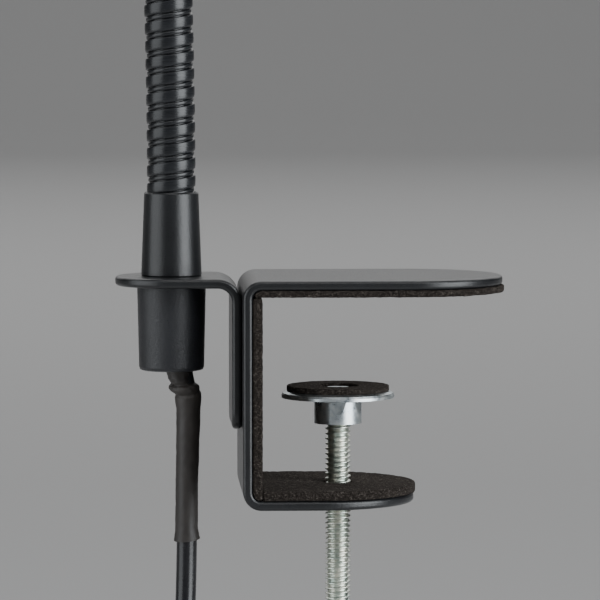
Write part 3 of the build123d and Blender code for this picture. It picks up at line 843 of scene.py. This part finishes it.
# %% Felt pads
felt_clouds = bpy.data.textures.new("felt_clouds", "CLOUDS")
felt_clouds.noise_scale = 2.6 * MM
felt_clouds.noise_depth = 2
felt_tufts = bpy.data.textures.new("felt_tufts", "CLOUDS")
felt_tufts.noise_scale = 0.8 * MM
felt_tufts.noise_depth = 3
corner_reach = 2.12 * MM  # just inside the frame's inner bend
corner_x = -20.1 * MM
corner_levels = (-0.45 * MM, -48.35 * MM)
hole_radius = 4.6 * MM
hole_reach = 9.0 * MM
hole_tight = 3.55 * MM


def stretch_pad(piece, axis, side, place):
    """Moves the pad's end face on one side of an axis to a new place."""
    ends = [vertex.co[axis] for vertex in piece.data.vertices]
    end = max(ends) if side > 0 else min(ends)
    for vertex in piece.data.vertices:
        if abs(vertex.co[axis] - end) < 0.1 * MM:
            vertex.co[axis] = place


def tuck_corners(piece):
    """Draws the felt back to the inside of the frame's two bends."""
    for vertex in piece.data.vertices:
        for level, up in zip(corner_levels, (1, -1)):
            across, high = vertex.co.x - corner_x, (vertex.co.z - level) * up
            away = math.hypot(across, high)
            if across < 0 < high and away > corner_reach:
                vertex.co.x = corner_x + across / away * corner_reach
                vertex.co.z = level + high / away * corner_reach * up


def close_round_screw(piece):
    """Draws the edge of the pad's hole in, until the felt nearly touches the screw's thread."""
    for vertex in piece.data.vertices:
        away = math.hypot(vertex.co.x, vertex.co.y)
        if 0 < away < hole_reach:
            share = (away - hole_radius) / (hole_reach - hole_radius)
            drawn = hole_tight + (hole_reach - hole_tight) * max(share, 0)
            vertex.co.x *= drawn / away
            vertex.co.y *= drawn / away


def make_felt_piece(node, body, ends=(), voxel=0.38, depth=0.2):
    """A soft-edged felt piece in the place of a plain pad."""
    piece = copy_of(node, f"felt_{node}")
    for axis, side, place in ends:
        stretch_pad(piece, axis, side, place * MM)
    remesh = piece.modifiers.new("remesh", "REMESH")
    remesh.mode = "VOXEL"
    remesh.voxel_size = voxel * MM
    soften = piece.modifiers.new("soften", "SMOOTH")
    soften.factor = 0.6
    soften.iterations = 3
    for texture, strength in ((felt_clouds, depth), (felt_tufts, 1.3 * depth)):
        lumps = piece.modifiers.new(texture.name, "DISPLACE")
        lumps.texture = texture
        lumps.texture_coords = "LOCAL"
        lumps.strength = strength * MM
        lumps.mid_level = 0.6
    apply_modifiers(piece)
    tuck_corners(piece)
    if node == "lower_jaw_pad":
        close_round_screw(piece)
    settle(piece, 180)
    dress(piece, felt, body, [node])
    print(node, "has", len(piece.data.polygons), "faces")
    return piece


make_felt_piece("top_jaw_pad", "clamp", [(0, -1, -22.0)])
make_felt_piece("back_pad", "clamp", [(2, 1, -0.05), (2, -1, -50.45)])
make_felt_piece("lower_jaw_pad", "clamp")
make_felt_piece("foot_pad", "pressure_disc", voxel=0.3, depth=0.1)


# %% [markdown]
# ## Finishes for the frame's own nodes
# The bent plates, turned parts, knob and head keep their shapes, and each gets its finish.


# %% Shade paint: black outside, white inside
def make_shade_paint():
    """Satin black where the surface faces away from the shade's axis, white where it faces in."""
    material, tree, shader, place = new_material("shade_paint", (0.016, 0.016, 0.018), 0.34)
    middle = centre_of("shade")
    offset = tree.nodes.new("ShaderNodeVectorMath")
    offset.operation = "SUBTRACT"
    offset.inputs[1].default_value = (middle.x, middle.y, 0)
    tree.links.new(place, offset.inputs[0])
    flat = tree.nodes.new("ShaderNodeVectorMath")
    flat.operation = "MULTIPLY"
    flat.inputs[1].default_value = (1, 1, 0)
    tree.links.new(offset.outputs[0], flat.inputs[0])
    facing = tree.nodes.new("ShaderNodeVectorMath")
    facing.operation = "DOT_PRODUCT"
    tree.links.new(flat.outputs[0], facing.inputs[0])
    coordinates = next(n for n in tree.nodes if n.bl_idname == "ShaderNodeTexCoord")
    tree.links.new(coordinates.outputs["Normal"], facing.inputs[1])
    peel = grain(tree, place, 1400, 2.0)
    stops = [(0.49, (0.8, 0.8, 0.78)), (0.51, (0.016, 0.016, 0.018))]
    inside = spread(tree, facing.outputs["Value"], 0.0, 1.0, -0.0005, 0.0005)
    tree.links.new(tint(tree, inside, stops), shader.inputs["Base Color"])
    tree.links.new(spread(tree, peel, 0.3, 0.4), shader.inputs["Roughness"])
    bump(tree, shader, peel, 0.3, 0.00006)
    return material


shade_paint = make_shade_paint()
node_finishes = {
    "powder_coat": (
        powder_coat,
        [
            "clamp_frame",
            "arm_bracket",
            "bracket_rivets",
            "neck_sleeve",
            "neck_top_sleeve",
            "socket_cap",
        ],
    ),
    "rough_coat": (rough_coat, ["lower_ferrule"]),
    "zinc": (
        zinc_plate,
        [
            "foot_collar",
            "foot_disc",
            "foot_rivet",
            "neck_nipple",
            "head_nipple",
            "head_locknut",
            "lock_washer",
        ],
    ),
    "knob_plastic": (moulded_black, ["clamp_knob", "switch_knob", "shade_ring"]),
    "brass": (brass, ["knob_insert", "screw_shell", "centre_contact", "plug_blades"]),
    "lead": (lead_jacket, [f"neck_lead_{i}" for i in range(8)]),
    "plug_pvc": (plug_black, ["plug_boot", "plug_body"]),
    "nylon": (nylon, ["cord_grip"]),
    "tie_strap": (strap_rubber, ["cord_tie"]),
    "phenolic": (phenolic, ["socket_body"]),
    "shade_paint": (shade_paint, ["shade"]),
    "bulb_opal": (opal_glass, ["bulb_glass"]),
    "bulb_cap": (bulb_cap_metal, ["bulb_base"]),
}
for slot_name, (material, names) in node_finishes.items():
    for name in names:
        dress(nodes[name], material)
print("finished", sum(len(names) for _, names in node_finishes.values()), "frame nodes")

# %% [markdown]
# ## Studio
# A wide pale floor curves up into a backdrop far behind the lamp, so that the lamp can be seen
# from all round. A tall soft light on the right gives the bright line on every round part, a
# weaker one on the left gives the second line, and wide ones above light the top faces, the
# floor and the backdrop.

# %% Floor and backdrop
floor_material = new_material("studio_floor", (0.42, 0.42, 0.42), 0.9)[0]
floor_gap = 0.02
floor_z = cad_box[0].z - floor_gap
floor_size = (44, 24)
floor_middle_y = -4.5
curve_steps = 8
curve_reach = 0.5  # the length of each step of the curve
wall_height = 5.0
clear_selection()
bpy.ops.mesh.primitive_plane_add(size=1, location=(0, 0, 0))
backdrop = bpy.context.object
backdrop.name = "studio_floor"
backdrop.scale = (*floor_size, 1)
backdrop.location = (0, floor_middle_y, floor_z)
bpy.ops.object.transform_apply(location=True, rotation=True, scale=True)
bpy.ops.object.mode_set(mode="EDIT")
bpy.ops.mesh.select_all(action="DESELECT")
bpy.ops.object.mode_set(mode="OBJECT")
far_edge = max(v.co.y for v in backdrop.data.vertices)
for edge in backdrop.data.edges:
    edge.select = all(backdrop.data.vertices[i].co.y > far_edge - MM for i in edge.vertices)
bpy.ops.object.mode_set(mode="EDIT")
for step in range(curve_steps):
    turn = math.radians((step + 0.5) * 90 / curve_steps)
    reach = (0, curve_reach * math.cos(turn), curve_reach * math.sin(turn))
    bpy.ops.mesh.extrude_region_move(TRANSFORM_OT_translate={"value": reach})
bpy.ops.mesh.extrude_region_move(TRANSFORM_OT_translate={"value": (0, 0, wall_height)})
bpy.ops.object.mode_set(mode="OBJECT")
bpy.ops.object.shade_smooth()
backdrop.data.materials.append(floor_material)
print("floor at", round(floor_z, 4))


# %% Lights
def soft_light(name, place, aim, width, height, power, colour=(1, 1, 1)):
    """A rectangular area light that looks at a point."""
    data = bpy.data.lights.new(name, "AREA")
    data.shape = "RECTANGLE"
    data.size = width
    data.size_y = height
    data.energy = power
    data.color = colour
    light = bpy.data.objects.new(name, data)
    bpy.context.scene.collection.objects.link(light)
    light.location = place
    light.rotation_euler = (Vector(aim) - Vector(place)).to_track_quat("-Z", "Y").to_euler()
    return light


soft_light("key_right", (0.95, -0.7, 0.3), (0, 0, 0), 0.95, 1.1, 22, (0.93, 0.97, 1.0))
soft_light("fill_left", (-1.1, -0.45, 0.25), (0, 0, 0), 1.15, 1.1, 9, (0.93, 0.97, 1.0))
soft_light("overhead", (0, -0.1, 1.5), (0, 0, 0), 0.8, 0.8, 4)
soft_light("back_card", (0, 0.95, 0.42), (0, 0, 0), 1.6, 0.5, 2)
soft_light("floor_glow", (0.0, 3.0, 3.6), (0, 2.4, -0.27), 7.0, 2.5, 140)
soft_light("front_floor_glow", (0.0, -5.5, 4.6), (0, -6.5, -0.27), 8.0, 3.0, 240)
soft_light("wall_glow", (0.0, 4.6, 4.0), (0, 10.4, 0.4), 8.0, 2.0, 135)
world = bpy.data.worlds.new("studio")
bpy.context.scene.world = world
world.use_nodes = True
world.node_tree.nodes["Background"].inputs["Color"].default_value = (0.9, 0.92, 0.95, 1)
world.node_tree.nodes["Background"].inputs["Strength"].default_value = 0.05
print("studio lit")
